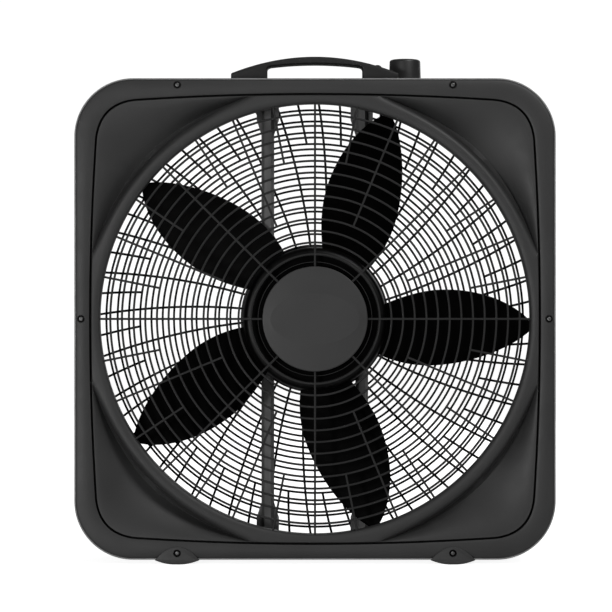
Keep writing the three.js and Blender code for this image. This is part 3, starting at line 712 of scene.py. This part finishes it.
def spoke(inner, outer, angle_at, width, back, front, steps=2):
    """A spoke along the line that `angle_at` gives at each radius."""
    section = bar_section(width, back, front)
    loops = []
    for radius in np.linspace(inner, outer, steps):
        angle = angle_at(radius)
        out = np.array([math.cos(angle), math.sin(angle)])
        side = np.array([-out[1], out[0]])
        loops.append(np.array([(*(out * radius + side * across), z) for across, z in section]))
    return loft(loops, closed=False, cap=True)


def even_spokes(count, start, inner, outer, back, front, width, lean=None):
    """Spokes at even angles from `start` degrees, straight unless `lean` bends them."""
    steps = 14 if lean else 2

    def at_angle(base):
        def angle_at(radius):
            return base + lean(radius) if lean else base
        return spoke(inner, outer, angle_at, width, back, front, steps)

    return [at_angle(math.radians(start + index * 360 / count)) for index in range(count)]


def front_guard():
    """The front grille: corner panels and lip, thirteen rings and a fine one round the cap,
    and spokes of three lengths."""
    panel = dished_panel()
    radii = np.arange(FIRST_RING, FRONT_OPENING - 5, RING_SPACING)
    rims = [ring(radius, RING_WIDTH, GRILLE_BACK, GRILLE_FRONT) for radius in radii]
    hub_ring_front = GRILLE_FRONT - HUB_RING_RECESS
    rims.append(ring(HUB_RING, HUB_RING_WIDTH, GRILLE_BACK - 1, hub_ring_front))
    hub_edge = CAP_RADIUS - GAP
    hub_plate = lathe([
        (0, GRILLE_BACK),
        (hub_edge, GRILLE_BACK),
        (hub_edge, GRILLE_FRONT),
        (0, GRILLE_FRONT),
    ], 160)
    depth = (GRILLE_BACK - 0.1, GRILLE_FRONT + 0.15)
    reach = FRONT_OPENING + SPOKE_OVERLAP
    spokes = [
        *even_spokes(8, 0, CAP_RADIUS - 2, reach, *depth, SPOKE_WIDTH),
        *even_spokes(8, 22.5, MIDDLE_SPOKE_START, reach, *depth, SPOKE_WIDTH),
        *even_spokes(16, 11.25, SHORT_SPOKE_START, reach, *depth, SPOKE_WIDTH),
    ]
    guard = make_object("front_guard", joined(panel, hub_plate, *rims))
    combine(guard, make_object("spokes", joined(*spokes)))
    finish_piece(guard, "face_plastic", replaces=["front_grille"])
    outline = panel_outside()
    # Painted shadow: the panel's skirt and tongue down in the groove are darker.
    paint(guard, shadow_finish, lambda x, y, z: z < FACE - 2.6 and beyond(outline, x, y) > -0.3)
    # Painted shade: everything inside the opening, rings and spokes, is darker than the same plastic of the panel.
    paint(guard, ring_shade_finish, lambda x, y, z: math.hypot(x, y) < FRONT_OPENING - 0.2)


def rear_guard():
    """The rear grille: a flat panel with a fine groove round its opening, twelve rings,
    swirled spokes and a centre disc."""
    outline = rounded_square(FRAME_HALF, CORNER_RADIUS - RIM_INSET)
    mouth = circle(REAR_OPENING)
    panel = loft([
        at_depth(outline, -PANEL_BACK),
        at_depth(offset(outline, -0.2), -FACE + 0.6),
        at_depth(offset(outline, -0.8), -FACE),
        at_depth(circle(REAR_OPENING + 6), -FACE),
        at_depth(circle(REAR_OPENING + 4), -FACE + 0.5),
        at_depth(circle(REAR_OPENING + 2), -FACE),
        at_depth(circle(REAR_OPENING + 0.6), -FACE + 0.3),
        at_depth(mouth, -FACE + 1),
        at_depth(mouth, REAR_GRILLE_FRONT + 0.5),
        at_depth(circle(REAR_OPENING + 3), REAR_GRILLE_FRONT + 0.5),
        at_depth(circle(REAR_OPENING + 3), -PANEL_BACK),
    ])
    radii = np.arange(REAR_DISC + REAR_RING_SPACING, REAR_OPENING - 5, REAR_RING_SPACING)
    rims = [ring(radius, RING_WIDTH, REAR_GRILLE_BACK, REAR_GRILLE_FRONT) for radius in radii]
    disc_groove = REAR_GRILLE_BACK + 0.8
    disc = lathe([
        (0, REAR_GRILLE_FRONT),
        (REAR_DISC + 1, REAR_GRILLE_FRONT),
        (REAR_DISC + 1, REAR_GRILLE_BACK + 0.6),
        (REAR_DISC, REAR_GRILLE_BACK),
        (REAR_DISC - 6, REAR_GRILLE_BACK),
        (REAR_DISC - 8, disc_groove),
        (REAR_DISC - 11, disc_groove),
        (REAR_DISC - 13, REAR_GRILLE_BACK),
        (0, REAR_GRILLE_BACK - 0.4),
    ], 200)
    depth = (REAR_GRILLE_BACK - 0.1, REAR_GRILLE_FRONT + 0.15)

    def lean(radius):
        return math.radians(REAR_SPOKE_LEAN * (radius - REAR_OPENING) - 1)

    reach = REAR_OPENING + SPOKE_OVERLAP
    spokes = [
        *even_spokes(32, 0, REAR_DISC - 2, reach, *depth, REAR_SPOKE_WIDTH, lean),
        *even_spokes(32, 5.625, REAR_SHORT_SPOKE_START, reach, *depth, REAR_SPOKE_WIDTH, lean),
    ]
    guard = make_object("rear_guard", joined(panel, disc, *rims))
    combine(guard, make_object("spokes", joined(*spokes)))
    finish_piece(guard, "face_plastic", replaces=["rear_grille"])

    def faces_the_blade(x, y, z):
        return z > REAR_GRILLE_BACK + 0.5 and REAR_DISC < math.hypot(x, y) < REAR_OPENING

    # Painted shade: the grille's faces towards the blade, inside its opening, are darker than the panel.
    paint(guard, shaded_finish, faces_the_blade)


def centre_cap():
    """A round cover with a blank oval plateau that slopes off to the rounded rim."""
    count, long_half, short_half = 192, 48.5, 27.5
    base = GRILLE_FRONT + GAP
    plateau, drop, round_off = CAP_FRONT, 2.4, 1.1
    angle = np.linspace(0, 2 * math.pi, count, endpoint=False)
    oval = 1 / np.hypot(np.cos(angle) / long_half, np.sin(angle) / short_half)
    slope_end = CAP_RADIUS - round_off
    rim = plateau - drop * (slope_end - oval) / (slope_end - short_half)
    loops = [at_depth(circle(CAP_RADIUS - 4, count), base), at_depth(circle(CAP_RADIUS, count), base)]
    for turn in np.radians([0, 25, 50, 75]):
        radius = slope_end + round_off * math.cos(turn)
        loops.append(at_depth(circle(radius, count), rim - round_off * (1 - math.sin(turn))))
    for share in np.linspace(0, 1, 25):
        radius = slope_end * (1 - share) + oval * share
        loops.append(at_depth(polar(radius, angle), rim + (plateau - rim) * share))
    for share in (0.985, 0.9, 0.7, 0.45, 0.2, 0.001):
        loops.append(at_depth(polar(oval * share, angle), plateau))
    loops.append(at_depth(circle(0.02, count), base))
    cap = make_object("centre_cap", loft(loops))
    finish_piece(cap, "cap_plastic", replaces=["front_cap"], smooth=50)


# ---------------------------------------------------------------- rotor

def blade_half_width(radius):
    """Half the blade's width along its arc: narrowed at the root, rounded in at the tip."""
    outward = max(0, (radius - BLADE_WIDEST) / (BLADE_TIP + 2.5 - BLADE_WIDEST))
    inward = max(0, (BLADE_WIDEST - radius) / 54)
    return BLADE_HALF_WIDTH * (1 - outward**2) ** 0.78 * (1 - 0.28 * inward**1.8)


def blade(turn):
    """One twisted petal, thinned and rounded towards its edges."""
    rows, columns = 56, 28
    loops = []
    for row in range(rows + 1):
        along = row / rows
        radius = BLADE_ROOT + (BLADE_TIP - BLADE_ROOT) * along**0.8
        inward = (BLADE_TIP + 1.5 - radius) / 150
        middle = math.radians(TIP_TURN + ROOT_SWEEP * inward**2.2)
        slope = math.tan(math.radians(ROOT_PITCH + (TIP_PITCH - ROOT_PITCH) * along))
        section = []
        for side in (1, -1):
            for column in range(columns + 1):
                share = column / columns if side > 0 else 1 - column / columns
                spread = (1 - math.cos(math.pi * share)) / 2
                reach = (2 * spread - 1) * blade_half_width(radius)
                camber = ROOT_CAMBER * (1 - along) * 4 * spread * (1 - spread)
                thin = 0.12 + 0.88 * (1 - abs(2 * spread - 1) ** 6) * (1 - 0.5 * along**6)
                angle = turn + middle + reach / radius
                z = BLADE_MIDDLE + reach * slope - camber + side * thin * BLADE_THICKNESS / 2
                section.append((radius * math.cos(angle), radius * math.sin(angle), z))
        loops.append(np.array(section))
    return loft(loops, closed=False, cap=True)


def blade_wheel():
    """The hub cup with its five blades, in one moulding."""
    edge, shoulder_start, boss_back = 0.4, 27, 22
    inside, ceiling = HUB_RADIUS - HUB_WALL, HUB_FRONT - 4
    shoulder = bezier((69, HUB_FRONT), (78.6, HUB_FRONT), (HUB_RADIUS, shoulder_start), 9)
    inner_shoulder = bezier((inside, shoulder_start), (75, ceiling), (66, ceiling), 9)
    profile = [
        (HUB_BORE, boss_back),
        (BOSS_RADIUS - edge, boss_back),
        (BOSS_RADIUS, boss_back + edge),
        (BOSS_RADIUS, ceiling),
        *inner_shoulder[::-1],
        (inside, edge),
        (inside + edge, 0),
        (HUB_RADIUS - edge, 0),
        (HUB_RADIUS, edge),
        *shoulder[::-1],
        (BOSS_RADIUS + 2, HUB_FRONT),
        (BOSS_RADIUS + 1, HUB_FRONT - 0.6),
        (HUB_BORE, HUB_FRONT - 0.6),
    ]
    wheel = make_object("blade_wheel", lathe(profile, 200))
    turns = [index * 2 * math.pi / BLADE_COUNT for index in range(BLADE_COUNT)]
    combine(wheel, make_object("blades", joined(*(blade(turn) for turn in turns))))
    finish_piece(wheel, "blade_plastic", body="rotor", replaces=["fan_blade"])
    # Painted sheen: the hub's shoulder, part of the same moulding as the blades, gets a glossier and lighter
    # plastic for its highlight.
    paint(wheel, hub_sheen_finish, lambda x, y, z: 70 < math.hypot(x, y) < HUB_RADIUS + 0.5)


# ---------------------------------------------------------------- screws

def screw_head(radius, rise, count=40):
    """A head with a low rim and a raised middle with a cross recess. Its seat is at z = 0
    and its top towards +z."""
    arm_half, arm_length = 0.38, 1.5
    angle = np.linspace(0, 2 * math.pi, count, endpoint=False)
    loops = [at_depth(circle(radius * 0.5, count), 0), at_depth(circle(radius, count), 0)]
    loops.append(at_depth(circle(radius, count), rise * 0.2))
    loops.append(at_depth(circle(radius - 0.25, count), rise * 0.3))
    loops.append(at_depth(circle(SCREW_BUTTON + 0.25, count), rise * 0.35))
    for distance in np.linspace(SCREW_BUTTON, 0.02, 22):
        flat = polar(distance, angle)
        dome = rise * (0.75 + 0.25 * math.sqrt(1 - (distance / SCREW_BUTTON) ** 2))
        arm = np.minimum(abs(flat[:, 0]), abs(flat[:, 1]))
        length = np.maximum(abs(flat[:, 0]), abs(flat[:, 1]))
        inside = smooth_step((arm_half - arm) / 0.15) * smooth_step((arm_length - length) / 0.25)
        loops.append(at_depth(flat, dome - rise * 0.5 * inside))
    loops.append(at_depth(circle(0.02, count), 0))
    return loft(loops)


def shank(radius, length):
    return lathe([(0, 0.3), (radius, 0.3), (radius, -length + 1), (0, -length)], 20)


def case_screws():
    """The front and rear screws: heads painted nearly black round the rim as painted shade, with bright steel only
    in the raised middle.
    """
    ends = (("front", 1, RECESS_FLOOR + GAP, 1.5), ("rear", -1, FACE + GAP, 1.2))
    for index, (x, y) in enumerate(SCREW_PLACES):
        for face, side, seat, rise in ends:
            points, faces = joined(screw_head(SCREW_HEAD, rise), shank(2, 10))
            head = moved((points * (1, 1, side), faces), (x, y, side * seat))
            screw = make_object(f"{face}_case_screw_{index + 1}", head)
            finish_piece(screw, "screw_steel", replaces=[f"{face}_screw_{index + 1}"])
            # Painted shade: the head is nearly black round its rim, standing in for shade in a recess, and only
            # its raised middle shows the bright steel.
            screw.data.materials[0] = screw_shade_finish
            paint(screw, finishes["screw_steel"],
                  lambda px, py, pz: math.hypot(px - x, py - y) < SCREW_BUTTON + 0.05)


# ---------------------------------------------------------------- handle, knob, feet

def plate(outline, back, front):
    """A straight-sided piece from a front-view outline."""
    return loft([at_depth(outline, back), at_depth(outline, front)], closed=False, cap=True)


def carry_handle():
    """An arch over a finger gap, with a round boss beside the knob."""
    low, high = extent("handle")
    end, base = high.x, HALF + GAP
    gap_side = (HANDLE_GAP, HALF + 12.2)
    gap_top = (HANDLE_GAP - 4.5, HALF + HANDLE_GAP_HEIGHT)
    end_side, end_top = (end, HALF + 6.8), (end - 1.8, HALF + 9.2)
    underside = bezier((-gap_top[0], gap_top[1]), (0, HALF + 21.9), gap_top, 40)
    gap_corner = bezier(gap_top, (HANDLE_GAP, HALF + 15.4), gap_side, 8)
    end_corner = bezier(end_side, (end, HALF + 8.7), end_top, 6)
    back = bezier(end_top, (0, HALF + 44.4), (-end_top[0], end_top[1]), 60)
    flip = (-1, 1)
    outline = np.concatenate([
        [(-end, base), (-HANDLE_GAP, base)],
        gap_corner[::-1] * flip,
        underside[1:],
        gap_corner[1:],
        [(HANDLE_GAP, base), (end, base)],
        end_corner,
        back[1:],
        (end_corner[::-1] * flip)[1:],
    ])
    handle = make_object("carry_handle", plate(outline, low.z, high.z))
    soften(handle, 2.2, 4, 50)
    apply_modifiers(handle)
    radius, back_end, front_end = 6, 3.5, 16
    boss = lathe([
        (0, back_end),
        (radius - 0.6, back_end),
        (radius, back_end + 0.6),
        (radius, front_end - 0.8),
        (radius - 0.8, front_end),
        (0, front_end),
    ], 40)
    combine(handle, make_object("boss", moved(boss, (69, HALF + 12.3, 0))))
    finish_piece(handle, "handle_plastic", replaces=["handle"])


def speed_knob():
    """A tapered knob with a pointer groove on its top."""
    low, high = extent("knob")
    place = ((low.x + high.x) / 2, -(low.z + high.z) / 2, 0)
    base, top = low.y, high.y
    bore, bore_end, skirt_end = 3.35, base + 20, base + 6
    crown = bezier((17.25, top - 3.4), (17.1, top - 0.5), (13.8, top - 0.35), 8)
    profile = [
        (0, bore_end),
        (bore, bore_end),
        (bore, skirt_end),
        (KNOB_STEM, skirt_end),
        (KNOB_STEM, base),
        (KNOB_RADIUS - 0.3, base),
        (KNOB_RADIUS, base + 0.4),
        *crown,
        (8, top - 0.08),
        (0, top),
    ]
    knob = make_object("speed_knob", moved(lathe(profile, 120), place), upright=True)
    pointer = np.array([(-0.9, 4), (0.9, 4), (0.9, 15.5), (-0.9, 15.5)])
    cutter = moved(plate(pointer, top - 1, top + 1), place)
    combine(knob, make_object("groove", cutter, upright=True), "DIFFERENCE")
    finish_piece(knob, "knob_plastic", body="control", replaces=["knob"])


def foot(side, name):
    """A saddle under the body's edge, whose two arched tabs lie on the faces."""
    top, floor = -HALF - GAP, extent(name)[0].y
    inside, outside = FACE + GAP, FACE + GAP + FOOT_TAB
    sole = np.concatenate([
        bezier((-FOOT_HALF, top), (-13, floor), (-SOLE_HALF, floor), 14),
        bezier((SOLE_HALF, floor), (13, floor), (FOOT_HALF, top), 14),
    ])
    arch = bezier((FOOT_HALF, top), (0, top + FOOT_ARCH), (-FOOT_HALF, top), 30)[1:-1]
    made = make_object(f"{name}_saddle", plate(sole, -outside, outside))
    soften(made, 0.5, 2, 40)
    apply_modifiers(made)
    for back, front in ((inside, outside), (-outside, -inside)):
        tab = make_object("tab", plate(np.concatenate([sole, arch]), back, front))
        soften(tab, 0.55, 3, 40)
        apply_modifiers(tab)
        combine(made, tab)
    end = FACE + 3
    hole = lathe([(0, -end), (RECESS_RADIUS, -end), (RECESS_RADIUS, end), (0, end)], 40)
    combine(made, make_object("hole", moved(hole, (0, SCREW_INSET - HALF, 0))), "DIFFERENCE")
    made.data.transform(Matrix.Translation((side * SCREW_SPREAD * MM, 0, 0)))
    finish_piece(made, "handle_plastic", replaces=[name])
    made.data.materials[0] = finishes["face_plastic"]  # it's as light as the front


# ---------------------------------------------------------------- CAD nodes that still show

# The edge radius of each node that isn't left sharp.
SOFTENED = {
    "left_bar": 0.5,
    "right_bar": 0.5,
    "stator": 0.3,
    "rotor_core": 0.4,
    "front_bell": 0.8,
    "rear_bell": 0.8,
    "capacitor": 1.0,
    "capacitor_tie": 0.2,
    "rotary_switch": 0.6,
    "switch_nut": 0.3,
    "blade_nut": 0.5,
    "dial_plate": 0.2,
    "cord_gland": 0.3,
    "front_bearing": 0.2,
    "rear_bearing": 0.2,
    "motor_shaft": 0.3,
    "switch_shaft": 0.2,
    **{f"coil_{number}": 1.0 for number in (1, 2, 3, 4)},
}


def dress_cad_nodes():
    """Gives each CAD node that still shows its finish and rounded edges."""
    for row in frame["record"]["subparts"]:
        node = frame["nodes"][row["node"]]
        if node.hide_render:
            continue
        node.data.materials.clear()
        node.data.materials.append(finishes[row["material_slot"]])
        if row["node"] in SOFTENED:
            soften(node, SOFTENED[row["node"]], 2)
        node.data.shade_smooth()
        node.data.set_sharp_from_angle(angle=math.radians(32))


# ---------------------------------------------------------------- assembly

make_studio()
body_shell()
front_bezel()
front_guard()
rear_guard()
centre_cap()
blade_wheel()
case_screws()
carry_handle()
speed_knob()
foot(-1, "left_foot")
foot(1, "right_foot")
dress_cad_nodes()
